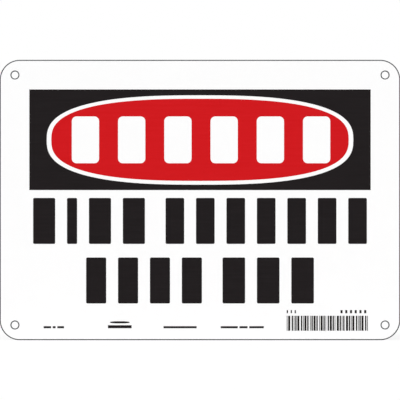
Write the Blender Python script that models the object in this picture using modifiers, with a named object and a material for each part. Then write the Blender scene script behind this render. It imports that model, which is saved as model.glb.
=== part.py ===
"""Flat printed safety sign, stamped from one sheet of coated aluminium.

Metres, +Z up. The sign hangs upright: its back lies in the plane y = 0, its printed face looks
along -Y, and the origin is the middle of the back. The sheet is drawn lying down, in its own X
and Y with the face towards its own +Z, and one turn about X stands it up.
"""

import math

import bmesh
import bpy
from mathutils import Matrix

# Sheet
SHEET_WIDTH = 0.254
SHEET_HEIGHT = 0.1778
SHEET_THICKNESS = 0.0008
CORNER_RADIUS = 0.0127
HOLE_DIAMETER = 0.00437
HOLE_INSET = 0.00965

# Rolled edge that the press tool leaves on the printed side
ROLL_WIDTH = 0.0007
ROLL_DEPTH = 0.0002

# Ink
INK_THICKNESS = 0.00005

# Header panel, and the bare ring round its red oval
PANEL_MARGIN = 0.0188
PANEL_HEIGHT = 0.0638
OVAL_SIDE_GAP = 0.0110
OVAL_TOP_GAP = 0.0037
OVAL_FOOT_GAP = 0.0034
RING_SIDE_WIDTH = 0.0029
RING_TOP_WIDTH = 0.0022
RING_FOOT_WIDTH = 0.0024
OVAL_FULLNESS = 2.65

# Bare marks inside the red oval
OVAL_MARKS_LEFT_GAP = 0.0130
OVAL_MARKS_RIGHT_GAP = 0.0117
OVAL_MARKS_EDGE_GAP = 0.0112
OVAL_MARK_GAP = 0.0120
OVAL_MARK_RADIUS = 0.0030
OVAL_MARKS = 6

# Two rows of black marks under the panel. A row's groups each have their marks, w for a wide one
# and n for a narrow one, and their share of the width that the gaps between groups leave.
PANEL_TO_ROW = 0.0050
ROW_GAP = 0.0086
ROW_TO_STRIP = 0.0078
MARK_GAP = 0.0075
GROUP_GAP = 0.0131
NARROW_MARK_WIDTH = 0.0064
MARK_RADIUS = 0.0009
UPPER_ROW_MARGIN = 0.0212
UPPER_ROW = (("wnww", 0.357), ("wwwwwww", 0.643))
LOWER_ROW_MARGIN = 0.0548
LOWER_ROW = (("wwww", 0.559), ("www", 0.441))

# Strip of plain bars at the lower right, with ticks over its two ends
STRIP_WIDTH = 0.0514
STRIP_HEIGHT = 0.0095
STRIP_SIDE_MARGIN = 0.0206
STRIP_FOOT_MARGIN = 0.0060
STRIP_BARS = 36
BAR_UNITS = (1, 3, 2, 1, 2, 3, 2)
SPACE_UNITS = (1, 2, 1, 1)
TICK_HEIGHT = 0.0020
TICKS_TO_STRIP = 0.0016
LEFT_TICKS = 3
LEFT_TICK_WIDTH = 0.0008
LEFT_TICK_PITCH = 0.0025
RIGHT_TICKS = 6
RIGHT_TICK_WIDTH = 0.0013
RIGHT_TICK_PITCH = 0.0030
RIGHT_TICK_INSET = 0.0010

# Line of small bars along the foot. Each group has its place, from 0 for the first one to 1 for
# the last, and the lengths of its bars.
FOOT_LINE_MARGIN = 0.0076
FOOT_BAR_HEIGHT = 0.0013
FOOT_BAR_GAP = 0.0011
FIRST_PLACE_INSET = 0.0343
LAST_PLACE_TO_STRIP = 0.0282
FOOT_BAR_GROUPS = (
    (0.0, (0.0047, 0.0018, 0.0042)),
    (0.67, (0.0210,)),
    (1.0, (0.0108, 0.0051, 0.0092)),
)

# Plain badge on the same line: a bar with a flat oval over it
BADGE_PLACE = 0.35
BADGE_BAR_WIDTH = 0.0150
BADGE_BAR_HEIGHT = 0.0019
BADGE_OVAL_WIDTH = 0.0125
BADGE_OVAL_HEIGHT = 0.0013
BADGE_GAP = 0.0012

# How finely round outlines are drawn
CORNER_STEPS = 12
HOLE_STEPS = 32
OVAL_STEPS = 96
BADGE_STEPS = 24
MARK_STEPS = 3
ROLL_STEPS = 3

# Modelling allowances
TOOL_OVERRUN = 0.001
INK_ROOT = 0.0003
MERGE_DISTANCE = 1e-7
SHARP_ANGLE = math.radians(40)
FLAT_ANGLE = math.radians(0.05)

# Finishes: name, colour, roughness, metallic
WHITE_ENAMEL = ("white_enamel", (0.955, 0.955, 0.955), 0.35, 0.0)
BARE_ALUMINIUM = ("bare_aluminium", (0.62, 0.63, 0.64), 0.38, 1.0)
BLACK_INK = ("black_ink", (0.0168, 0.0137, 0.0144), 0.5, 0.0)
RED_INK = ("red_ink", (0.624, 0.0116, 0.0152), 0.45, 0.0)


def clear_scene():
    """Removes whatever the scene holds."""
    for thing in list(bpy.data.objects):
        bpy.data.objects.remove(thing, do_unlink=True)


def new_collection(name):
    """A collection of that name in the scene."""
    collection = bpy.data.collections.new(name)
    bpy.context.scene.collection.children.link(collection)
    return collection


def finish(name, colour, roughness, metallic):
    """A Principled material."""
    material = bpy.data.materials.new(name)
    material.use_nodes = True
    shader = material.node_tree.nodes["Principled BSDF"]
    shader.inputs["Base Color"].default_value = (*colour, 1.0)
    shader.inputs["Roughness"].default_value = roughness
    shader.inputs["Metallic"].default_value = metallic
    material.diffuse_color = (*colour, 1.0)
    return material


# Outlines, in the plane of the sheet


def rectangle(left, bottom, width, height):
    """Corners of a rectangle."""
    right, top = left + width, bottom + height
    return [(left, bottom), (right, bottom), (right, top), (left, top)]


def rounded_rectangle(left, bottom, width, height, radius, steps):
    """Points of a rectangle whose corners are quarter circles."""
    reach = min(radius, width / 2, height / 2)
    corners = (
        (left + width - reach, bottom + height - reach),
        (left + reach, bottom + height - reach),
        (left + reach, bottom + reach),
        (left + width - reach, bottom + reach),
    )
    points = []
    for quarter, (x, y) in enumerate(corners):
        for i in range(steps + 1):
            turn = math.pi / 2 * (quarter + i / steps)
            points.append((x + reach * math.cos(turn), y + reach * math.sin(turn)))
    return points


def full_oval(left, bottom, width, height, steps):
    """Points of an oval a little fuller than an ellipse: |x/a|^n + |y/b|^n = 1."""
    power = 2 / OVAL_FULLNESS
    points = []
    for i in range(steps):
        turn = 2 * math.pi * i / steps
        across, up = math.cos(turn), math.sin(turn)
        x = width / 2 * (1 + math.copysign(abs(across) ** power, across))
        y = height / 2 * (1 + math.copysign(abs(up) ** power, up))
        points.append((left + x, bottom + y))
    return points


# Where things lie on the sheet


def panel_box():
    """(left, bottom, width, height) of the black header panel."""
    width = SHEET_WIDTH - 2 * PANEL_MARGIN
    top = SHEET_HEIGHT / 2 - PANEL_MARGIN
    return -width / 2, top - PANEL_HEIGHT, width, PANEL_HEIGHT


def ring_box():
    """(left, bottom, width, height) of the opening in the panel, which is the ring's outside."""
    left, bottom, width, height = panel_box()
    return (
        left + OVAL_SIDE_GAP,
        bottom + OVAL_FOOT_GAP,
        width - 2 * OVAL_SIDE_GAP,
        height - OVAL_FOOT_GAP - OVAL_TOP_GAP,
    )


def red_box():
    """(left, bottom, width, height) of the red oval inside the ring."""
    left, bottom, width, height = ring_box()
    return (
        left + RING_SIDE_WIDTH,
        bottom + RING_FOOT_WIDTH,
        width - 2 * RING_SIDE_WIDTH,
        height - RING_FOOT_WIDTH - RING_TOP_WIDTH,
    )


def strip_box():
    """(left, bottom, width, height) of the strip of bars."""
    right = SHEET_WIDTH / 2 - STRIP_SIDE_MARGIN
    return right - STRIP_WIDTH, -SHEET_HEIGHT / 2 + STRIP_FOOT_MARGIN, STRIP_WIDTH, STRIP_HEIGHT


def row_height():
    """Height of one row of black marks: the two rows share what the panel and strip leave."""
    panel_foot = panel_box()[1]
    strip_top = strip_box()[1] + STRIP_HEIGHT
    return (panel_foot - strip_top - PANEL_TO_ROW - ROW_GAP - ROW_TO_STRIP) / 2


def mark_row(groups, margin, bottom):
    """Outlines of a row of black marks between its margins. A group's wide marks fill its share."""
    free = SHEET_WIDTH - 2 * margin - GROUP_GAP * (len(groups) - 1)
    height = row_height()
    outlines = []
    x = margin - SHEET_WIDTH / 2
    for marks, share in groups:
        wide = free * share - MARK_GAP * (len(marks) - 1) - NARROW_MARK_WIDTH * marks.count("n")
        widths = {"w": wide / marks.count("w"), "n": NARROW_MARK_WIDTH}
        for mark in marks:
            outlines.append(
                rounded_rectangle(x, bottom, widths[mark], height, MARK_RADIUS, MARK_STEPS)
            )
            x += widths[mark] + MARK_GAP
        x += GROUP_GAP - MARK_GAP
    return outlines


def oval_marks():
    """Outlines of the bare marks inside the red oval."""
    left, bottom, width, height = red_box()
    free = width - OVAL_MARKS_LEFT_GAP - OVAL_MARKS_RIGHT_GAP
    pitch = (free + OVAL_MARK_GAP) / OVAL_MARKS
    return [
        rounded_rectangle(
            left + OVAL_MARKS_LEFT_GAP + i * pitch,
            bottom + OVAL_MARKS_EDGE_GAP,
            pitch - OVAL_MARK_GAP,
            height - 2 * OVAL_MARKS_EDGE_GAP,
            OVAL_MARK_RADIUS,
            MARK_STEPS,
        )
        for i in range(OVAL_MARKS)
    ]


def strip_bars():
    """Outlines of the strip's bars, whose widths and spaces repeat in a plain cycle."""
    left, bottom, width, height = strip_box()
    bars = [BAR_UNITS[i % len(BAR_UNITS)] for i in range(STRIP_BARS)]
    spaces = [SPACE_UNITS[i % len(SPACE_UNITS)] for i in range(STRIP_BARS - 1)] + [0]
    unit = width / (sum(bars) + sum(spaces))
    outlines = []
    x = left
    for bar, space in zip(bars, spaces):
        outlines.append(rectangle(x, bottom, bar * unit, height))
        x += (bar + space) * unit
    return outlines


def strip_ticks():
    """Outlines of the small upright ticks over the two ends of the strip."""
    left, bottom, width, height = strip_box()
    foot = bottom + height + TICKS_TO_STRIP
    last = left + width - RIGHT_TICK_INSET - RIGHT_TICK_WIDTH
    ticks = [(left + i * LEFT_TICK_PITCH, LEFT_TICK_WIDTH) for i in range(LEFT_TICKS)]
    ticks += [(last - i * RIGHT_TICK_PITCH, RIGHT_TICK_WIDTH) for i in range(RIGHT_TICKS)]
    return [rectangle(x, foot, tick_width, TICK_HEIGHT) for x, tick_width in ticks]


def foot_middle(place):
    """Where something on the foot line is centred: 0 is the first group's place, 1 the last's."""
    first = FIRST_PLACE_INSET - SHEET_WIDTH / 2
    last = strip_box()[0] - LAST_PLACE_TO_STRIP
    return first + (last - first) * place


def foot_bars():
    """Outlines of the small bars along the foot."""
    bottom = FOOT_LINE_MARGIN - SHEET_HEIGHT / 2
    outlines = []
    for place, bars in FOOT_BAR_GROUPS:
        x = foot_middle(place) - (sum(bars) + FOOT_BAR_GAP * (len(bars) - 1)) / 2
        for length in bars:
            outlines.append(rectangle(x, bottom, length, FOOT_BAR_HEIGHT))
            x += length + FOOT_BAR_GAP
    return outlines


def badge():
    """Outlines of the plain badge."""
    middle = foot_middle(BADGE_PLACE)
    bottom = FOOT_LINE_MARGIN - SHEET_HEIGHT / 2
    oval_foot = bottom + BADGE_BAR_HEIGHT + BADGE_GAP
    return [
        rectangle(middle - BADGE_BAR_WIDTH / 2, bottom, BADGE_BAR_WIDTH, BADGE_BAR_HEIGHT),
        full_oval(
            middle - BADGE_OVAL_WIDTH / 2,
            oval_foot,
            BADGE_OVAL_WIDTH,
            BADGE_OVAL_HEIGHT,
            BADGE_STEPS,
        ),
    ]


# Solids


def flat_solid(name, outlines, low, high, material):
    """A mesh whose outlines are filled, inner ones as holes, between two heights."""
    curve = bpy.data.curves.new(name + "_outline", "CURVE")
    curve.dimensions = "2D"
    curve.fill_mode = "BOTH"
    curve.extrude = (high - low) / 2
    for points in outlines:
        spline = curve.splines.new("POLY")
        spline.points.add(len(points) - 1)
        for point, (x, y) in zip(spline.points, points):
            point.co = (x, y, 0.0, 1.0)
        spline.use_cyclic_u = True
    drawn = bpy.data.objects.new(name + "_outline", curve)
    bpy.context.scene.collection.objects.link(drawn)
    graph = bpy.context.evaluated_depsgraph_get()
    mesh = bpy.data.meshes.new_from_object(drawn.evaluated_get(graph))
    bpy.data.objects.remove(drawn, do_unlink=True)
    mesh.name = name
    mesh.transform(Matrix.Translation((0.0, 0.0, (low + high) / 2)))
    weld(mesh)
    mesh.materials.clear()
    mesh.materials.append(material)
    return mesh


def weld(mesh):
    """Joins the caps of a filled outline to its sides, with the faces pointing out."""
    shape = bmesh.new()
    shape.from_mesh(mesh)
    bmesh.ops.remove_doubles(shape, verts=shape.verts, dist=MERGE_DISTANCE)
    even_out_flats(shape)
    bmesh.ops.recalc_face_normals(shape, faces=shape.faces)
    shape.to_mesh(mesh)
    shape.free()


def flats(shape):
    """The faces that lie in the plane of the sheet."""
    found = set()
    for face in shape.faces:
        heights = [vertex.co.z for vertex in face.verts]
        if max(heights) - min(heights) < MERGE_DISTANCE:
            found.add(face)
    return found


def even_out_flats(shape):
    """Turns edges inside each flat of the sheet or the ink, so that no triangle is a sliver."""
    level = flats(shape)
    inner = [
        edge
        for edge in shape.edges
        if level.issuperset(edge.link_faces)
        and len({face.material_index for face in edge.link_faces}) == 1
    ]
    bmesh.ops.beautify_fill(shape, faces=list(level), edges=inner, method="ANGLE")


def roll_section():
    """(distance in from the edge, height) from the sheared side up to the face, on an ellipse."""
    section = []
    for step in range(ROLL_STEPS + 1):
        turn = math.pi / 2 * step / ROLL_STEPS
        inward = ROLL_WIDTH * (1 - math.cos(turn))
        section.append((inward, SHEET_THICKNESS - ROLL_DEPTH * (1 - math.sin(turn))))
    return section


def roll_front_edge(mesh, enamel):
    """Turns the blank's front edge down all round, and leaves the enamel on the flat inside it."""
    shape = bmesh.new()
    shape.from_mesh(mesh)
    front = [face for face in flats(shape) if face.normal.z > 0]
    (face,) = bmesh.ops.dissolve_faces(shape, faces=front)["region"]
    section = roll_section()
    for lower, upper in zip(section, section[1:]):
        inward, rise = upper[0] - lower[0], upper[1] - lower[1]
        bmesh.ops.inset_region(
            shape, faces=[face], thickness=inward, use_boundary=True, use_even_offset=True
        )
        bmesh.ops.translate(shape, verts=face.verts, vec=(0.0, 0.0, rise))
    mesh.materials.append(enamel)
    face.material_index = len(mesh.materials) - 1
    shape.to_mesh(mesh)
    shape.free()


def hole_tool(metal):
    """A turned tool that leaves one screw hole with its rolled front edge.

    Its profile runs down the outer side. The last slope of the roll is carried on past the face,
    so that the tool cuts the face cleanly.
    """
    roll = roll_section()
    (inner, low), (outer, high) = roll[-2:]
    roll[-1] = (2 * outer - inner, 2 * high - low)
    side = [(HOLE_DIAMETER / 2 + inward, height) for inward, height in reversed(roll)]
    top, foot = SHEET_THICKNESS + TOOL_OVERRUN, -TOOL_OVERRUN
    profile = [(0.0, top), (side[0][0], top), *side, (side[-1][0], foot), (0.0, foot)]
    shape = bmesh.new()
    points = [shape.verts.new((radius, 0.0, height)) for radius, height in profile]
    for pair in zip(points, points[1:]):
        shape.edges.new(pair)
    mesh = bpy.data.meshes.new("hole_tool")
    shape.to_mesh(mesh)
    shape.free()
    mesh.materials.append(metal)
    return mesh


def punch_holes(sheet, metal, helpers):
    """Cuts the four screw holes, each with its own copy of the tool."""
    mesh = hole_tool(metal)
    across = SHEET_WIDTH / 2 - HOLE_INSET
    up = SHEET_HEIGHT / 2 - HOLE_INSET
    tools = []
    for x in (-across, across):
        for y in (-up, up):
            tool = helper("hole_tool", mesh, helpers)
            tool.location = (x, y, 0.0)
            turned = tool.modifiers.new("turned", "SCREW")
            turned.steps = turned.render_steps = HOLE_STEPS
            turned.use_merge_vertices = True
            turned.merge_threshold = MERGE_DISTANCE
            combine(sheet, "DIFFERENCE", tool)
            tools.append(tool)
    return tools


def combine(sheet, operation, other):
    """Adds a Boolean to the sheet, in which each side keeps its own finish.

    On shapes this thin the exact solver leaves out a wall here and there, and the manifold one
    leaves none out.
    """
    boolean = sheet.modifiers.new(other.name, "BOOLEAN")
    boolean.operation = operation
    boolean.solver = "MANIFOLD"
    boolean.material_mode = "TRANSFER"
    boolean.object = other


def helper(name, mesh, helpers):
    """An object that only cuts or joins, and is left out of the finished part."""
    thing = bpy.data.objects.new(name, mesh)
    thing.hide_render = True
    thing.display_type = "WIRE"
    helpers.objects.link(thing)
    return thing


def rolled_blank(metal, enamel):
    """The coated sheet with its round corners and rolled front edge, before the holes."""
    outline = rounded_rectangle(
        -SHEET_WIDTH / 2,
        -SHEET_HEIGHT / 2,
        SHEET_WIDTH,
        SHEET_HEIGHT,
        CORNER_RADIUS,
        CORNER_STEPS,
    )
    mesh = flat_solid("sign_plate", [outline], 0.0, SHEET_THICKNESS - ROLL_DEPTH, metal)
    roll_front_edge(mesh, enamel)
    return bpy.data.objects.new("sign_plate", mesh)


def black_outlines():
    """All that is black: the panel round its oval, both rows, the strip and the foot's line."""
    rows_top = panel_box()[1] - PANEL_TO_ROW
    height = row_height()
    return [
        rectangle(*panel_box()),
        full_oval(*ring_box(), OVAL_STEPS),
        *mark_row(UPPER_ROW, UPPER_ROW_MARGIN, rows_top - height),
        *mark_row(LOWER_ROW, LOWER_ROW_MARGIN, rows_top - 2 * height - ROW_GAP),
        *strip_bars(),
        *strip_ticks(),
        *foot_bars(),
        *badge(),
    ]


def red_outlines():
    """All that is red: an oval that leaves its marks bare."""
    return [full_oval(*red_box(), OVAL_STEPS), *oval_marks()]


def print_ink(sheet, name, outlines, material, helpers):
    """Joins a film of ink to the sheet: it starts inside and stands proud of the face."""
    top = SHEET_THICKNESS + INK_THICKNESS
    foot = SHEET_THICKNESS - INK_ROOT
    film = helper(name, flat_solid(name, outlines, foot, top, material), helpers)
    combine(sheet, "UNION", film)
    return film


def apply_modifiers(sheet):
    """Makes the cut and joined shape the sheet's own mesh."""
    graph = bpy.context.evaluated_depsgraph_get()
    mesh = bpy.data.meshes.new_from_object(sheet.evaluated_get(graph))
    mesh.name = sheet.name
    sheet.modifiers.clear()
    sheet.data = mesh


def redraw_flats(mesh):
    """Clears the cuts that the Booleans leave across each flat, and fills it with even triangles.

    The flats are shaded flat, and the rolled edges, hole walls and round ink edges smooth.
    """
    shape = bmesh.new()
    shape.from_mesh(mesh)
    bmesh.ops.dissolve_limit(
        shape,
        angle_limit=FLAT_ANGLE,
        verts=shape.verts,
        edges=shape.edges,
        delimit={"MATERIAL"},
    )
    bmesh.ops.triangulate(shape, faces=shape.faces)
    even_out_flats(shape)
    level = flats(shape)
    rounded = [face not in level for face in shape.faces]
    shape.to_mesh(mesh)
    shape.free()
    mesh.set_sharp_from_angle(angle=SHARP_ANGLE)
    mesh.polygons.foreach_set("use_smooth", rounded)


def stand_up(*things):
    """Turns the flat drawing upright about the X axis, so that its face looks along -Y."""
    upright = Matrix.Rotation(math.pi / 2, 4, "X")
    for thing in things:
        thing.matrix_basis = upright @ thing.matrix_basis


def main():
    """Builds the sign."""
    clear_scene()
    parts = new_collection("safety_sign")
    helpers = new_collection("tools_and_films")
    metal = finish(*BARE_ALUMINIUM)
    sheet = rolled_blank(metal, finish(*WHITE_ENAMEL))
    parts.objects.link(sheet)
    tools = punch_holes(sheet, metal, helpers)
    black = print_ink(sheet, "black_film", black_outlines(), finish(*BLACK_INK), helpers)
    red = print_ink(sheet, "red_film", red_outlines(), finish(*RED_INK), helpers)
    apply_modifiers(sheet)
    redraw_flats(sheet.data)
    stand_up(sheet, black, red, *tools)


if __name__ == "__main__":
    main()
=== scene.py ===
"""Looks of a flat printed safety sign: a coated aluminium sheet with screen-printed ink.

Metres, +Z up. The sign hangs upright with its back in the plane y = 0 and its print facing -Y.
Each piece is drawn lying down, in its own X and Y with the face towards its own +Z, and is stood
up last.
"""

import logging
import math
from collections.abc import Sequence
from dataclasses import dataclass
from enum import Enum
from itertools import pairwise

import bmesh
import bpy
from bmesh.types import BMEdge, BMesh, BMFace
from mathutils import Matrix, Vector


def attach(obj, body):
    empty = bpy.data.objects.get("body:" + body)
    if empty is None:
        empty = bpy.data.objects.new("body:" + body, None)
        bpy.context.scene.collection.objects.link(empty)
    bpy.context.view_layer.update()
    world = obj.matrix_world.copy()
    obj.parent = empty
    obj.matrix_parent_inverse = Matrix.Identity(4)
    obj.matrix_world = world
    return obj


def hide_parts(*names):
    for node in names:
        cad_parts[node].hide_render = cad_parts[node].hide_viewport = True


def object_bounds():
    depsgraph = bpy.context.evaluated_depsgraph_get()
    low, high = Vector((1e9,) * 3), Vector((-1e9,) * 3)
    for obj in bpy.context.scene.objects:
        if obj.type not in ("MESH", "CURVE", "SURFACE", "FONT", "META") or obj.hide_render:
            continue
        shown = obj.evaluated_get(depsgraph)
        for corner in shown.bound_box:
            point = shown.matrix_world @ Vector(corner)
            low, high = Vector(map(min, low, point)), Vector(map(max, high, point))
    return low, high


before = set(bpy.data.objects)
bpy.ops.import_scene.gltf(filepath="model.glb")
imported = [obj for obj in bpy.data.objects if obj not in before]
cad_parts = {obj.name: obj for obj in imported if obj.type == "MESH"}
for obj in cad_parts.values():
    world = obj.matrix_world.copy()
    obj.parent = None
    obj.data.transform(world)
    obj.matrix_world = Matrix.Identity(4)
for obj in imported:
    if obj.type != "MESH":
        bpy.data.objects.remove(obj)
CAD_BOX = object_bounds()
CAD_NODE = "sign_plate"
BODY = "root"
LOG = logging.getLogger("safety_sign")

MM = 0.001
MERGE_DISTANCE = 1e-7
SHARP_ANGLE = math.radians(40)
QUARTER_TURN = math.pi / 2
UPRIGHT = Matrix.Rotation(QUARTER_TURN, 4, "X")

# The sRGB curve: a straight line up to its knee, and a power from there
SRGB_KNEE = 0.04045
SRGB_SLOPE = 12.92
SRGB_OFFSET = 0.055
SRGB_POWER = 2.4

# What shows as white: the colour, and the strength of what glows
WHITE = "#FFFFFF"
WHITE_STRENGTH = 1.0

# Most of a noise's values lie between these two
NOISE_LOW = 0.3
NOISE_HIGH = 0.7

# The sockets that a Mix node uses for colours
MIX_FACTOR = 0
MIX_FIRST = 6
MIX_SECOND = 7
MIX_RESULT = 2

# (inset, level) pairs of an edge, from the back of a piece to its front
Section = list[tuple[float, float]]


class Slot(Enum):
    """The material slots' names."""

    ENAMEL = "white_enamel"
    BLACK = "black_ink"
    RED = "red_ink"
    METAL = "bare_aluminium"


class Mark(Enum):
    """The two widths of a printed block."""

    WIDE = "wide"
    NARROW = "narrow"


# Materials


def srgb(code: str) -> tuple[float, float, float, float]:
    """Turns an sRGB hex colour into linear values.

    Args:
        code: the colour, as a hash and six digits.

    Returns:
        Linear red, green and blue, and an alpha of 1.
    """
    parts = [int(code[i : i + 2], 16) / 255 for i in (1, 3, 5)]
    linear = [
        c / SRGB_SLOPE if c <= SRGB_KNEE else ((c + SRGB_OFFSET) / (1 + SRGB_OFFSET)) ** SRGB_POWER
        for c in parts
    ]
    return (*linear, 1.0)


def link_inputs(
    tree: bpy.types.NodeTree,
    node: bpy.types.Node,
    links: dict[str | int, bpy.types.NodeSocket],
) -> None:
    """Feeds inputs of a node.

    Args:
        tree: the node tree that holds it.
        node: the node.
        links: output sockets by the input socket that they feed.
    """
    for socket, source in links.items():
        tree.links.new(source, node.inputs[socket])


def add_node(
    tree: bpy.types.NodeTree,
    kind: str,
    values: dict | None = None,
    links: dict | None = None,
    **settings: object,
) -> bpy.types.Node:
    """Adds a node with its settings, socket values and links.

    Args:
        tree: the node tree that gets it.
        kind: the node's type.
        values: numbers or colours by input socket.
        links: output sockets by the input socket that they feed.
        **settings: the node's own properties.

    Returns:
        The new node.
    """
    node = tree.nodes.new(kind)
    for name, value in settings.items():
        setattr(node, name, value)
    for socket, value in (values or {}).items():
        node.inputs[socket].default_value = value
    link_inputs(tree, node, links or {})
    return node


def new_material(name: str, **constants: float) -> tuple[bpy.types.Material, bpy.types.Node]:
    """Starts a material.

    Args:
        name: the material's name.
        **constants: the shader's sockets that hold one number, with _ for a space.

    Returns:
        The material and its Principled shader.
    """
    material = bpy.data.materials.new(name)
    material.use_nodes = True
    shader = material.node_tree.nodes["Principled BSDF"]
    for socket, value in constants.items():
        shader.inputs[socket.replace("_", " ")].default_value = value
    return material, shader


def pattern(
    tree: bpy.types.NodeTree,
    size_mm: tuple[float, float, float],
    detail: float,
    shift: float = 0.0,
) -> bpy.types.NodeSocket:
    """Noise whose grains have a real size, in the sign's own coordinates.

    Args:
        tree: the material's nodes.
        size_mm: how long a grain is along X, Y and Z.
        detail: how many finer layers the noise has.
        shift: how many grains the pattern is moved by, so that two patterns differ.

    Returns:
        The noise's value, from 0 to 1.
    """
    place = add_node(tree, "ShaderNodeTexCoord")
    scaled = add_node(
        tree,
        "ShaderNodeMapping",
        values={
            "Location": (shift, shift, shift),
            "Scale": tuple(1 / (size * MM) for size in size_mm),
        },
        links={"Vector": place.outputs["Object"]},
    )
    noise = add_node(
        tree,
        "ShaderNodeTexNoise",
        values={"Scale": 1.0, "Detail": detail},
        links={"Vector": scaled.outputs["Vector"]},
    )
    return noise.outputs["Fac"]


def spread(
    tree: bpy.types.NodeTree, source: bpy.types.NodeSocket, low: float, high: float
) -> bpy.types.NodeSocket:
    """Spreads a noise's middle values over a range of numbers.

    Args:
        tree: the material's nodes.
        source: the noise's value.
        low: what the dark grains become.
        high: what the light grains become.

    Returns:
        The number's socket.
    """
    ranged = add_node(
        tree,
        "ShaderNodeMapRange",
        values={"From Min": NOISE_LOW, "From Max": NOISE_HIGH, "To Min": low, "To Max": high},
        links={"Value": source},
    )
    return ranged.outputs["Result"]


def tint(
    tree: bpy.types.NodeTree, factor: bpy.types.NodeSocket, dark: str, light: str
) -> bpy.types.NodeSocket:
    """Mixes two colours by a factor.

    Args:
        tree: the material's nodes.
        factor: 0 for the dark colour, 1 for the light one.
        dark: an sRGB hex colour.
        light: an sRGB hex colour.

    Returns:
        The colour's socket.
    """
    mixed = add_node(
        tree,
        "ShaderNodeMix",
        values={MIX_FIRST: srgb(dark), MIX_SECOND: srgb(light)},
        links={MIX_FACTOR: factor},
        data_type="RGBA",
    )
    return mixed.outputs[MIX_RESULT]


def relief(
    tree: bpy.types.NodeTree, height: bpy.types.NodeSocket, depth_mm: float
) -> bpy.types.NodeSocket:
    """Bump of a real depth.

    Args:
        tree: the material's nodes.
        height: the pattern, from 0 to 1.
        depth_mm: how deep it is.

    Returns:
        The normal's socket.
    """
    bump = add_node(
        tree,
        "ShaderNodeBump",
        values={"Strength": 1.0, "Distance": depth_mm * MM},
        links={"Height": height},
    )
    return bump.outputs["Normal"]


@dataclass(frozen=True)
class BakedEnamel:
    """White polyester enamel, roller-coated and baked: satin, with a faint orange peel."""

    name: str = "baked_white_polyester_enamel"
    white: str = "#FDFDFD"
    shade: str = "#FCFCFC"
    roughness: tuple[float, float] = (0.30, 0.36)
    peel_mm: tuple[float, float, float] = (1.8, 1.8, 1.4)
    peel_detail: float = 1.0
    peel_depth_mm: float = 0.0006
    cloud_mm: tuple[float, float, float] = (40.0, 40.0, 25.0)
    cloud_detail: float = 2.0
    cloud_shift: float = 7.0

    def material(self) -> bpy.types.Material:
        """The enamel's material.

        Returns:
            The material: orange peel, under clouds that vary the white and the gloss a little.
        """
        material, shader = new_material(self.name)
        tree = material.node_tree
        peel = pattern(tree, self.peel_mm, self.peel_detail)
        cloud = pattern(tree, self.cloud_mm, self.cloud_detail, self.cloud_shift)
        dressing = {
            "Base Color": tint(tree, spread(tree, cloud, 0.0, 1.0), self.shade, self.white),
            "Roughness": spread(tree, cloud, *self.roughness),
            "Normal": relief(tree, peel, self.peel_depth_mm),
        }
        link_inputs(tree, shader, dressing)
        return material


@dataclass(frozen=True)
class ScreenInk:
    """Matt screen ink, drawn over the enamel by a squeegee that leaves faint streaks across.

    The mesh of the screen, about 0.1 mm, is too fine to show, so it is drawn at 0.7 mm.
    """

    name: str
    full: str
    thin: str
    specular: float = 0.06
    roughness: tuple[float, float] = (0.46, 0.56)
    streak_mm: tuple[float, float, float] = (30.0, 30.0, 1.6)
    streak_detail: float = 2.0
    mesh_mm: tuple[float, float, float] = (0.7, 0.7, 0.7)
    mesh_detail: float = 0.0
    mesh_shift: float = 3.0
    mesh_depth_mm: float = 0.0008

    def material(self) -> bpy.types.Material:
        """The ink's material.

        Returns:
            The material: the mesh's grain, under streaks of fuller and thinner ink.
        """
        material, shader = new_material(self.name, Specular_IOR_Level=self.specular)
        tree = material.node_tree
        streak = pattern(tree, self.streak_mm, self.streak_detail)
        mesh = pattern(tree, self.mesh_mm, self.mesh_detail, self.mesh_shift)
        dressing = {
            "Base Color": tint(tree, spread(tree, streak, 0.0, 1.0), self.full, self.thin),
            "Roughness": spread(tree, streak, *self.roughness),
            "Normal": relief(tree, mesh, self.mesh_depth_mm),
        }
        link_inputs(tree, shader, dressing)
        return material


BLACK_INK = ScreenInk("black_screen_ink", full="#1B1718", thin="#1F1B1C")
RED_INK = ScreenInk("red_screen_ink", full="#CD1318", thin="#D0171D")


@dataclass(frozen=True)
class MillAluminium:
    """Mill-finish aluminium, cold rolled: a soft grey sheen with fine lines along the sheet."""

    name: str = "mill_finish_aluminium"
    dark: str = "#B4B7BA"
    light: str = "#D3D5D7"
    anisotropy: float = 0.5
    roughness: tuple[float, float] = (0.30, 0.46)
    grain_mm: tuple[float, float, float] = (45.0, 45.0, 0.3)
    grain_detail: float = 3.0
    grain_share: float = 0.65
    grain_depth_mm: float = 0.0008
    band_mm: tuple[float, float, float] = (220.0, 220.0, 5.0)
    band_detail: float = 1.0
    band_shift: float = 11.0
    band_share: float = 0.35

    def material(self) -> bpy.types.Material:
        """The bare back's material.

        Returns:
            The material: fine rolling lines, with broad bands that lighten and darken them.
        """
        material, shader = new_material(self.name, Metallic=1.0, Anisotropic=self.anisotropy)
        tree = material.node_tree
        grain = pattern(tree, self.grain_mm, self.grain_detail)
        band = pattern(tree, self.band_mm, self.band_detail, self.band_shift)
        blend = add_node(
            tree,
            "ShaderNodeMath",
            links={
                0: spread(tree, grain, 0.0, self.grain_share),
                1: spread(tree, band, 0.0, self.band_share),
            },
            operation="ADD",
        )
        dressing = {
            "Base Color": tint(tree, blend.outputs["Value"], self.dark, self.light),
            "Roughness": spread(tree, grain, *self.roughness),
            "Normal": relief(tree, grain, self.grain_depth_mm),
        }
        link_inputs(tree, shader, dressing)
        return material


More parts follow.
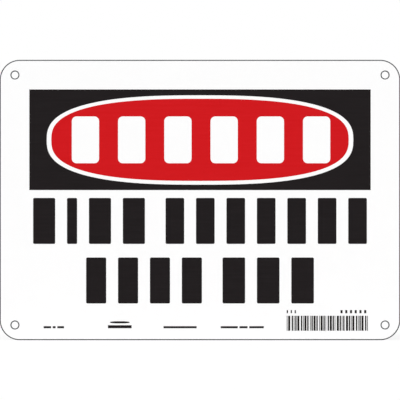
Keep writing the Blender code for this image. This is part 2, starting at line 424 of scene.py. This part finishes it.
@dataclass(frozen=True)
class ShearedEdgePaintedShade:
    """Bare sheared aluminium with fine marks across the cut, coloured dark grey as painted shade
    that outlines the sheet's edge and its holes.
    """

    name: str = "sheared_aluminium_painted_shade_edge"
    # Both greys are painted shade: darker than bare aluminium, so the edge and the hole walls show
    # as a dark outline
    dark: str = "#3E3F41"
    light: str = "#5A5C5E"
    roughness: tuple[float, float] = (0.36, 0.52)
    mark_mm: tuple[float, float, float] = (0.4, 5.0, 0.4)
    mark_detail: float = 2.0
    mark_depth_mm: float = 0.0015

    def material(self) -> bpy.types.Material:
        """The cut edge's material.

        Returns:
            The material: dark grey painted shade, with short marks from the back of the sheet to
                its front.
        """
        material, shader = new_material(self.name, Metallic=1.0)
        tree = material.node_tree
        marks = pattern(tree, self.mark_mm, self.mark_detail)
        dressing = {
            "Base Color": tint(tree, spread(tree, marks, 0.0, 1.0), self.dark, self.light),
            "Roughness": spread(tree, marks, *self.roughness),
            "Normal": relief(tree, marks, self.mark_depth_mm),
        }
        link_inputs(tree, shader, dressing)
        return material


# Outlines, in the plane of the sheet


@dataclass(frozen=True)
class Block:
    """An upright rectangle with round corners, or sharp ones where radius is 0."""

    left: float
    bottom: float
    width: float
    height: float
    radius: float = 0.0
    steps: int = 8

    def draw(self, shape: BMesh, inset: float, level: float) -> list[BMEdge]:
        """Adds its border as edges.

        Args:
            shape: the mesh that gets them.
            inset: how far inside the nominal border they run.
            level: their height over the back of the sheet.

        Returns:
            The edges, which form one loop.
        """
        known = set(shape.edges)
        # A square with sides of 1, because the grid's size is half a side
        corners = bmesh.ops.create_grid(shape, x_segments=1, y_segments=1, size=1 / 2)["verts"]
        size = Vector((self.width - 2 * inset, self.height - 2 * inset, 1.0))
        middle = Vector((self.left + self.width / 2, self.bottom + self.height / 2, level))
        bmesh.ops.scale(shape, verts=corners, vec=size)
        bmesh.ops.translate(shape, verts=corners, vec=middle)
        (face,) = set(corners[0].link_faces)
        if self.radius > inset:
            rounded = bmesh.ops.bevel(
                shape,
                geom=corners,
                affect="VERTICES",
                offset_type="OFFSET",
                offset=self.radius - inset,
                segments=self.steps,
                profile=0.5,
                material=-1,
            )
            (face,) = {f for v in rounded["verts"] for f in v.link_faces}
        bmesh.ops.delete(shape, geom=[face], context="FACES_ONLY")
        return [edge for edge in shape.edges if edge not in known]


@dataclass(frozen=True)
class Oval:
    """An oval with |x/a|^n + |y/b|^n = 1: a circle where a = b and the fullness n is 2."""

    middle: tuple[float, float]
    width: float
    height: float
    fullness: float = 2.0
    steps: int = 128

    def draw(self, shape: BMesh, inset: float, level: float) -> list[BMEdge]:
        """Adds its border as edges.

        Args:
            shape: the mesh that gets them.
            inset: how far inside the nominal border they run.
            level: their height over the back of the sheet.

        Returns:
            The edges, which form one loop.
        """
        known = set(shape.edges)
        ring = bmesh.ops.create_circle(shape, segments=self.steps, radius=1.0)["verts"]
        across, up = self.width / 2 - inset, self.height / 2 - inset
        for vertex in ring:
            x, y = (math.copysign(abs(c) ** (2 / self.fullness), c) for c in vertex.co.xy)
            vertex.co = (self.middle[0] + across * x, self.middle[1] + up * y, level)
        return [edge for edge in shape.edges if edge not in known]


Outline = Block | Oval


def loft(
    shape: BMesh, outline: Outline, section: Section, outward: bool
) -> tuple[list[BMEdge], list[BMEdge]]:
    """Bridges copies of an outline that follow a section.

    Args:
        shape: the mesh that gets the wall.
        outline: the border or opening that the wall follows.
        section: the edge's section, from the lowest level to the highest.
        outward: True for a border, False for an opening, whose insets run into the material.

    Returns:
        The edges of the lowest and of the highest loop.
    """
    side = 1 if outward else -1
    loops = [outline.draw(shape, side * inset, level) for inset, level in section]
    for lower, upper in pairwise(loops):
        bmesh.ops.bridge_loops(shape, edges=lower + upper)
    return loops[0], loops[-1]


def close_level(shape: BMesh, loops: Sequence[list[BMEdge]], pierced: bool) -> list[BMFace]:
    """Fills the loops at one level.

    Args:
        shape: the mesh that gets the faces.
        loops: the loops at that level.
        pierced: True where some loops are openings in others.

    Returns:
        The new faces.
    """
    edges = [edge for loop in loops for edge in loop]
    if pierced:
        made = bmesh.ops.triangle_fill(shape, edges=edges, use_beauty=True, normal=(0, 0, 1))
        return [item for item in made["geom"] if isinstance(item, BMFace)]
    return bmesh.ops.edgeloop_fill(shape, edges=edges)["faces"]


def make_piece(
    name: str,
    material: bpy.types.Material,
    section: Section,
    borders: Sequence[Outline],
    openings: Sequence[Outline] = (),
    flat_back: bpy.types.Material | None = None,
) -> bpy.types.Object:
    """Makes a flat piece from its outlines and section, stands it up and puts it on its body.

    Args:
        name: the object's name.
        material: what the piece is made of.
        section: the section of its edge.
        borders: the outer outlines, which lie apart.
        openings: the outlines of the openings inside them.
        flat_back: another material for the two flats, where they differ from the edge.

    Returns:
        The finished object.
    """
    shape = bmesh.new()
    ends = [loft(shape, outline, section, True) for outline in borders]
    ends += [loft(shape, outline, section, False) for outline in openings]
    flats: list[BMFace] = []
    for loops in zip(*ends):
        flats += close_level(shape, loops, bool(openings))
    bmesh.ops.remove_doubles(shape, verts=shape.verts, dist=MERGE_DISTANCE)
    bmesh.ops.recalc_face_normals(shape, faces=shape.faces)
    mesh = bpy.data.meshes.new(name)
    mesh.materials.append(material)
    level = set(flats)
    if flat_back:
        mesh.materials.append(flat_back)
        for face in level:
            face.material_index = 1
    rounded = [face not in level for face in shape.faces]
    bmesh.ops.transform(shape, matrix=UPRIGHT, verts=shape.verts)
    shape.to_mesh(mesh)
    shape.free()
    mesh.set_sharp_from_angle(angle=SHARP_ANGLE)
    mesh.polygons.foreach_set("use_smooth", rounded)
    piece = bpy.data.objects.new(name, mesh)
    bpy.context.scene.collection.objects.link(piece)
    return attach(piece, BODY)


# The sign


@dataclass
class Sheet:
    """The punched aluminium sheet and the enamel on its face."""

    width: float
    height: float
    thickness: float = 0.80 * MM
    corner_radius: float = 12.7 * MM
    corner_steps: int = 24
    hole_diameter: float = 4.37 * MM
    hole_inset: float = 9.65 * MM
    hole_steps: int = 64
    roll_width: float = 0.70 * MM
    roll_depth: float = 0.20 * MM
    roll_steps: int = 6
    back_break: float = 0.04 * MM
    coat: float = 0.03 * MM
    coat_root: float = 0.02 * MM

    def outline(self) -> Block:
        """The sheet's border."""
        left, bottom = -self.width / 2, -self.height / 2
        return Block(left, bottom, self.width, self.height, self.corner_radius, self.corner_steps)

    def holes(self) -> list[Outline]:
        """The four screw holes.

        Returns:
            Their outlines.
        """
        across, up = self.width / 2 - self.hole_inset, self.height / 2 - self.hole_inset
        return [
            Oval((x, y), self.hole_diameter, self.hole_diameter, steps=self.hole_steps)
            for x in (-across, across)
            for y in (-up, up)
        ]

    def edge_section(self) -> Section:
        """The metal's edge.

        Returns:
            Its section, from the back, up the cut and round the roll to the metal's face.
        """
        face = self.thickness - self.coat
        section = [(self.back_break, 0.0), (0.0, self.back_break)]
        for step in range(self.roll_steps + 1):
            turn = QUARTER_TURN * step / self.roll_steps
            inset = self.roll_width * (1 - math.cos(turn))
            section.append((inset, face - self.roll_depth * (1 - math.sin(turn))))
        return section

    def coat_section(self) -> Section:
        """The enamel's edge.

        Returns:
            Its section: the enamel starts in the metal and thins out where the roll begins.
        """
        return [
            (self.roll_width, self.thickness - self.coat - self.coat_root),
            (self.roll_width, self.thickness - self.coat / 2),
            (self.roll_width + self.coat / 2, self.thickness),
        ]

    def build(self) -> list[bpy.types.Object]:
        """Makes the bare sheet, in place of the plain one, and the enamel.

        Returns:
            The two pieces.
        """
        metal = make_piece(
            "aluminium_sheet",
            # The edge's dark grey is painted shade; the flats get mill-finish aluminium
            ShearedEdgePaintedShade().material(),
            self.edge_section(),
            [self.outline()],
            self.holes(),
            MillAluminium().material(),
        )
        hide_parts(CAD_NODE)
        coat = make_piece(
            "enamel_face",
            BakedEnamel().material(),
            self.coat_section(),
            [self.outline()],
            self.holes(),
        )
        return [metal, coat]


@dataclass
class InkFilm:
    """One colour's film of ink: its level on the enamel, and the soft round edge it dries to."""

    slot: Slot
    material: bpy.types.Material
    face: float
    height: float
    root: float = 0.02 * MM
    edge: float = 0.02 * MM

    def section(self) -> Section:
        """The film's edge.

        Returns:
            Its section, from inside the enamel up and round a quarter circle to the film's top.
        """
        top = self.face + self.height
        halfway = self.edge * (1 - math.sqrt(1 / 2))
        return [
            (0.0, self.face - self.root),
            (0.0, top - self.edge),
            (halfway, top - halfway),
            (self.edge, top),
        ]

    def lay(
        self, name: str, borders: Sequence[Outline], openings: Sequence[Outline] = ()
    ) -> bpy.types.Object:
        """Prints fields of the ink as one piece.

        Args:
            name: the object's name.
            borders: the fields' outlines.
            openings: what is left bare in them.

        Returns:
            The piece.
        """
        return make_piece(name, self.material, self.section(), borders, openings)


@dataclass
class HeaderPanel:
    """The black panel, the bare ring in it, and the red oval with its bare marks."""

    sheet: Sheet
    black: InkFilm
    red: InkFilm
    margin: float = 18.8 * MM
    height: float = 63.8 * MM
    oval_side_gap: float = 11.0 * MM
    oval_top_gap: float = 3.7 * MM
    oval_foot_gap: float = 3.4 * MM
    ring_side_width: float = 2.9 * MM
    ring_top_width: float = 2.2 * MM
    ring_foot_width: float = 2.4 * MM
    fullness: float = 2.65
    marks_left_gap: float = 13.0 * MM
    marks_right_gap: float = 11.7 * MM
    marks_edge_gap: float = 11.2 * MM
    mark_gap: float = 12.0 * MM
    mark_radius: float = 3.0 * MM
    marks: int = 6

    @property
    def foot(self) -> float:
        """Where the panel ends below."""
        return self.sheet.height / 2 - self.margin - self.height

    def panel(self) -> Block:
        """The panel's border."""
        width = self.sheet.width - 2 * self.margin
        return Block(-width / 2, self.foot, width, self.height)

    def outer_oval(self) -> Oval:
        """The opening in the panel.

        Returns:
            Its outline, which is the ring's outside.
        """
        height = self.height - self.oval_top_gap - self.oval_foot_gap
        middle = (0.0, self.foot + self.oval_foot_gap + height / 2)
        return Oval(middle, self.panel().width - 2 * self.oval_side_gap, height, self.fullness)

    def red_oval(self) -> Oval:
        """The red field.

        Returns:
            Its outline, which is the ring's inside.
        """
        outer = self.outer_oval()
        lift = (self.ring_foot_width - self.ring_top_width) / 2
        return Oval(
            (outer.middle[0], outer.middle[1] + lift),
            outer.width - 2 * self.ring_side_width,
            outer.height - self.ring_top_width - self.ring_foot_width,
            self.fullness,
        )

    def bare_marks(self) -> list[Outline]:
        """The openings in the red field.

        Returns:
            Their outlines, from the left.
        """
        red = self.red_oval()
        left = self.marks_left_gap - red.width / 2
        height = red.height - 2 * self.marks_edge_gap
        bottom = red.middle[1] - height / 2
        free = red.width - self.marks_left_gap - self.marks_right_gap
        pitch = (free + self.mark_gap) / self.marks
        width = pitch - self.mark_gap
        return [
            Block(left + i * pitch, bottom, width, height, self.mark_radius)
            for i in range(self.marks)
        ]

    def build(self) -> list[bpy.types.Object]:
        """Prints the panel and the red field.

        Returns:
            The two pieces.
        """
        return [
            self.black.lay("header_panel", [self.panel()], [self.outer_oval()]),
            self.red.lay("red_oval", [self.red_oval()], self.bare_marks()),
        ]


@dataclass
class BarStrip:
    """A strip of plain bars at the lower right, with ticks over its two ends."""

    sheet: Sheet
    ink: InkFilm
    width: float = 51.4 * MM
    height: float = 9.5 * MM
    side_margin: float = 20.6 * MM
    foot_margin: float = 6.0 * MM
    bars: int = 36
    bar_units: tuple[int, ...] = (1, 3, 2, 1, 2, 3, 2)
    space_units: tuple[int, ...] = (1, 2, 1, 1)
    tick_height: float = 2.0 * MM
    tick_lift: float = 1.6 * MM
    left_ticks: int = 3
    left_tick_width: float = 0.8 * MM
    left_tick_pitch: float = 2.5 * MM
    right_ticks: int = 6
    right_tick_width: float = 1.3 * MM
    right_tick_pitch: float = 3.0 * MM
    right_tick_inset: float = 1.0 * MM

    @property
    def left(self) -> float:
        """Where the strip starts."""
        return self.sheet.width / 2 - self.side_margin - self.width

    @property
    def bottom(self) -> float:
        """Where the strip ends below."""
        return -self.sheet.height / 2 + self.foot_margin

    def bar_outlines(self) -> list[Outline]:
        """The bars, whose widths and spaces repeat in a plain cycle.

        Returns:
            Their outlines, from the left.
        """
        bars = [self.bar_units[i % len(self.bar_units)] for i in range(self.bars)]
        spaces = [self.space_units[i % len(self.space_units)] for i in range(self.bars - 1)]
        unit = self.width / (sum(bars) + sum(spaces))
        outlines: list[Outline] = []
        x = self.left
        for bar, space in zip(bars, [*spaces, 0]):
            outlines.append(Block(x, self.bottom, bar * unit, self.height))
            x += (bar + space) * unit
        return outlines

    def tick_outlines(self) -> list[Outline]:
        """The ticks over the strip.

        Returns:
            The outlines of the narrow ones on the left, then of the wider ones on the right.
        """
        bottom = self.bottom + self.height + self.tick_lift
        last = self.left + self.width - self.right_tick_inset - self.right_tick_width
        ticks = [
            (self.left + i * self.left_tick_pitch, self.left_tick_width)
            for i in range(self.left_ticks)
        ]
        ticks += [
            (last - i * self.right_tick_pitch, self.right_tick_width)
            for i in range(self.right_ticks)
        ]
        return [Block(x, bottom, width, self.tick_height) for x, width in ticks]

    def build(self) -> list[bpy.types.Object]:
        """Prints the bars and the ticks.

        Returns:
            The two pieces.
        """
        return [
            self.ink.lay("bar_strip", self.bar_outlines()),
            self.ink.lay("strip_ticks", self.tick_outlines()),
        ]


@dataclass(frozen=True)
class BlockGroup:
    """A few blocks close together, and their share of what the gaps between groups leave."""

    marks: tuple[Mark, ...]
    share: float


@dataclass(frozen=True)
class BlockRow:
    """Groups of black blocks in one row, between its margins."""

    side_margin: float
    groups: tuple[BlockGroup, ...]
    mark_gap: float = 7.5 * MM
    group_gap: float = 13.1 * MM
    narrow_width: float = 6.4 * MM
    radius: float = 0.9 * MM

    def widths(self, group: BlockGroup, length: float) -> dict[Mark, float]:
        """The width of each kind of mark, so that the wide ones fill the group.

        Args:
            group: the blocks.
            length: how long they are together, with the gaps between them.

        Returns:
            The widths.
        """
        free = length - self.mark_gap * (len(group.marks) - 1)
        free -= self.narrow_width * group.marks.count(Mark.NARROW)
        return {Mark.NARROW: self.narrow_width, Mark.WIDE: free / group.marks.count(Mark.WIDE)}

    def outlines(self, sheet_width: float, bottom: float, height: float) -> list[Outline]:
        """The blocks.

        Args:
            sheet_width: the width of the sheet that the row is centred on.
            bottom: where the row ends below.
            height: how tall the blocks are.

        Returns:
            Their outlines, from the left.
        """
        free = sheet_width - 2 * self.side_margin - self.group_gap * (len(self.groups) - 1)
        made: list[Outline] = []
        x = self.side_margin - sheet_width / 2
        for group in self.groups:
            widths = self.widths(group, free * group.share)
            for mark in group.marks:
                made.append(Block(x, bottom, widths[mark], height, self.radius))
                x += widths[mark] + self.mark_gap
            x += self.group_gap - self.mark_gap
        return made


@dataclass
class BlockRows:
    """Two rows of black blocks between the panel and the strip."""

    header: HeaderPanel
    strip: BarStrip
    panel_gap: float = 5.0 * MM
    row_gap: float = 8.6 * MM
    strip_gap: float = 7.8 * MM
    upper: BlockRow = BlockRow(
        side_margin=21.2 * MM,
        groups=(
            BlockGroup((Mark.WIDE, Mark.NARROW, Mark.WIDE, Mark.WIDE), share=0.357),
            BlockGroup((Mark.WIDE,) * 7, share=0.643),
        ),
    )
    lower: BlockRow = BlockRow(
        side_margin=54.8 * MM,
        groups=(
            BlockGroup((Mark.WIDE,) * 4, share=0.559),
            BlockGroup((Mark.WIDE,) * 3, share=0.441),
        ),
    )

    def row_height(self) -> float:
        """The height of one row: both share what the panel and the strip leave."""
        free = self.header.foot - self.strip.bottom - self.strip.height
        return (free - self.panel_gap - self.row_gap - self.strip_gap) / 2

    def build(self) -> list[bpy.types.Object]:
        """Prints both rows.

        Returns:
            The two pieces.
        """
        width = self.header.sheet.width
        height = self.row_height()
        top = self.header.foot - self.panel_gap
        upper = self.upper.outlines(width, top - height, height)
        lower = self.lower.outlines(width, top - 2 * height - self.row_gap, height)
        ink = self.header.black
        return [ink.lay("upper_blocks", upper), ink.lay("lower_blocks", lower)]


@dataclass
class FootLine:
    """The line that the small marks along the foot of the sign stand on."""

    strip: BarStrip
    foot_margin: float = 7.6 * MM
    first_inset: float = 34.3 * MM
    last_to_strip: float = 28.2 * MM

    @property
    def bottom(self) -> float:
        """The height of the line."""
        return self.foot_margin - self.strip.sheet.height / 2

    def middle(self, place: float) -> float:
        """Where a mark is centred across the sheet.

        Args:
            place: 0 for the first place on the line, 1 for the last.

        Returns:
            Its distance from the middle of the sheet.
        """
        first = self.first_inset - self.strip.sheet.width / 2
        last = self.strip.left - self.last_to_strip
        return first + (last - first) * place


@dataclass
class FootBars:
    """Three groups of small plain bars, each with its place on the line and its bars' lengths."""

    line: FootLine
    height: float = 1.3 * MM
    gap: float = 1.1 * MM
    groups_mm: tuple[tuple[float, tuple[float, ...]], ...] = (
        (0.0, (4.7, 1.8, 4.2)),
        (0.67, (21.0,)),
        (1.0, (10.8, 5.1, 9.2)),
    )

    def outlines(self) -> list[Outline]:
        """The bars.

        Returns:
            Their outlines, from the left.
        """
        made: list[Outline] = []
        for place, lengths_mm in self.groups_mm:
            lengths = [length * MM for length in lengths_mm]
            x = self.line.middle(place) - (sum(lengths) + self.gap * (len(lengths) - 1)) / 2
            for length in lengths:
                made.append(Block(x, self.line.bottom, length, self.height))
                x += length + self.gap
        return made

    def build(self) -> list[bpy.types.Object]:
        """Prints the bars as one piece."""
        return [self.line.strip.ink.lay("foot_bars", self.outlines())]


@dataclass
class Badge:
    """A plain badge on the same line: a bar with a flat oval over it."""

    line: FootLine
    place: float = 0.35
    bar_width: float = 15.0 * MM
    bar_height: float = 1.9 * MM
    oval_width: float = 12.5 * MM
    oval_height: float = 1.3 * MM
    gap: float = 1.2 * MM
    fullness: float = 2.65
    steps: int = 48

    def bar(self) -> Block:
        """The bar."""
        left = self.line.middle(self.place) - self.bar_width / 2
        return Block(left, self.line.bottom, self.bar_width, self.bar_height)

    def oval(self) -> Oval:
        """The oval.

        Returns:
            Its outline.
        """
        height = self.line.bottom + self.bar_height + self.gap + self.oval_height / 2
        middle = (self.line.middle(self.place), height)
        return Oval(middle, self.oval_width, self.oval_height, self.fullness, self.steps)

    def build(self) -> list[bpy.types.Object]:
        """Prints both as one piece."""
        return [self.line.strip.ink.lay("foot_badge", [self.bar(), self.oval()])]


# The studio


@dataclass
class Studio:
    """A white room without walls: a pale floor, an even sky, one soft sun and a long lens.

    In the picture the sign is a little wider than the frame, as it is in the photograph.
    """

    sheet: Sheet
    front: float
    frame_px: float = 400.0
    sheet_px: float = 400.6
    lens_mm: float = 400.0
    sensor_mm: float = 36.0
    floor_size: float = 8.0
    floor_grey: str = "#F4F4F4"
    floor_glow: float = 1.07
    shadow_share: float = 0.3
    sky: float = 0.60
    key_strength: float = 1.41
    key_angle: float = math.radians(35)
    key_from: tuple[float, float, float] = (-0.10, -0.64, 0.76)

    def build(self) -> None:
        """Makes the floor, the light and the camera."""
        self.add_floor()
        self.add_sky()
        self.add_key()
        self.add_camera()

    def seen(self, tree: bpy.types.NodeTree) -> bpy.types.NodeSocket:
        """A socket that is 1 for what the camera, a reflection or a clear material shows.

        Args:
            tree: the nodes that need it.

        Returns:
            The socket.
        """
        path = add_node(tree, "ShaderNodeLightPath")
        seen = path.outputs["Is Camera Ray"]
        for ray in ("Is Glossy Ray", "Is Transmission Ray"):
            either = add_node(
                tree, "ShaderNodeMath", links={0: seen, 1: path.outputs[ray]}, operation="MAXIMUM"
            )
            seen = either.outputs["Value"]
        return seen

    def add_floor(self) -> None:
        """Lays a pale matt floor that shows as white and takes only a part of each shadow."""
        shape = bmesh.new()
        bmesh.ops.create_grid(shape, x_segments=1, y_segments=1, size=self.floor_size / 2)
        drop = Vector((0.0, 0.0, -self.sheet.height / 2))
        bmesh.ops.translate(shape, verts=shape.verts, vec=drop)
        mesh = bpy.data.meshes.new("floor")
        shape.to_mesh(mesh)
        shape.free()
        material = bpy.data.materials.new("matt_white_studio_floor")
        material.use_nodes = True
        tree = material.node_tree
        tree.nodes.remove(tree.nodes["Principled BSDF"])
        matt = add_node(tree, "ShaderNodeBsdfDiffuse", values={"Color": srgb(self.floor_grey)})
        glow = add_node(tree, "ShaderNodeEmission", values={"Strength": self.floor_glow})
        share = add_node(
            tree,
            "ShaderNodeMath",
            values={1: 1 - self.shadow_share},
            links={0: self.seen(tree)},
            operation="MULTIPLY",
        )
        mixed = add_node(
            tree,
            "ShaderNodeMixShader",
            links={0: share.outputs["Value"], 1: matt.outputs["BSDF"], 2: glow.outputs["Emission"]},
        )
        link_inputs(tree, tree.nodes["Material Output"], {"Surface": mixed.outputs["Shader"]})
        mesh.materials.append(material)
        floor = bpy.data.objects.new("floor", mesh)
        bpy.context.scene.collection.objects.link(floor)

    def add_sky(self) -> None:
        """Lights the scene evenly, and shows white behind and in it."""
        world = bpy.data.worlds.new("white_sky")
        world.use_nodes = True
        tree = world.node_tree
        strength = add_node(
            tree,
            "ShaderNodeMapRange",
            values={"To Min": self.sky, "To Max": WHITE_STRENGTH},
            links={"Value": self.seen(tree)},
        )
        background = tree.nodes["Background"]
        background.inputs["Color"].default_value = srgb(WHITE)
        link_inputs(tree, background, {"Strength": strength.outputs["Result"]})
        bpy.context.scene.world = world

    def add_key(self) -> None:
        """Adds a soft sun in front of the sign, high on the left."""
        light = bpy.data.lights.new("key", "SUN")
        light.energy = self.key_strength
        light.angle = self.key_angle
        key = bpy.data.objects.new("key", light)
        key.rotation_euler = Vector(self.key_from).to_track_quat("Z", "Y").to_euler()
        bpy.context.scene.collection.objects.link(key)

    def add_camera(self) -> None:
        """Points a long lens straight at the print, so that the sign just fills the width."""
        data = bpy.data.cameras.new("camera")
        data.lens = self.lens_mm
        data.sensor_width = self.sensor_mm
        camera = bpy.data.objects.new("camera", data)
        shown = self.sheet.width * (self.frame_px / self.sheet_px)
        camera.location = (0.0, self.front - shown * self.lens_mm / self.sensor_mm, 0.0)
        camera.rotation_euler = (QUARTER_TURN, 0.0, 0.0)
        bpy.context.scene.collection.objects.link(camera)
        bpy.context.scene.camera = camera


def main() -> None:
    """Builds the sign and its studio, and reports each piece."""
    logging.basicConfig(level=logging.INFO, format="%(name)s: %(message)s")
    low, high = CAD_BOX
    sheet = Sheet(width=high.x - low.x, height=high.z - low.z)
    ink_height = -low.y - sheet.thickness
    black = InkFilm(Slot.BLACK, BLACK_INK.material(), sheet.thickness, ink_height)
    red = InkFilm(Slot.RED, RED_INK.material(), sheet.thickness, ink_height)
    header = HeaderPanel(sheet, black, red)
    strip = BarStrip(sheet, black)
    line = FootLine(strip)
    for part in (sheet, header, strip, BlockRows(header, strip), FootBars(line), Badge(line)):
        for piece in part.build():
            LOG.info("%s: %d faces", piece.name, len(piece.data.polygons))
    Studio(sheet, front=low.y).build()
    bpy.context.scene.view_settings.view_transform = "Standard"


if __name__ == "__main__":
    main()
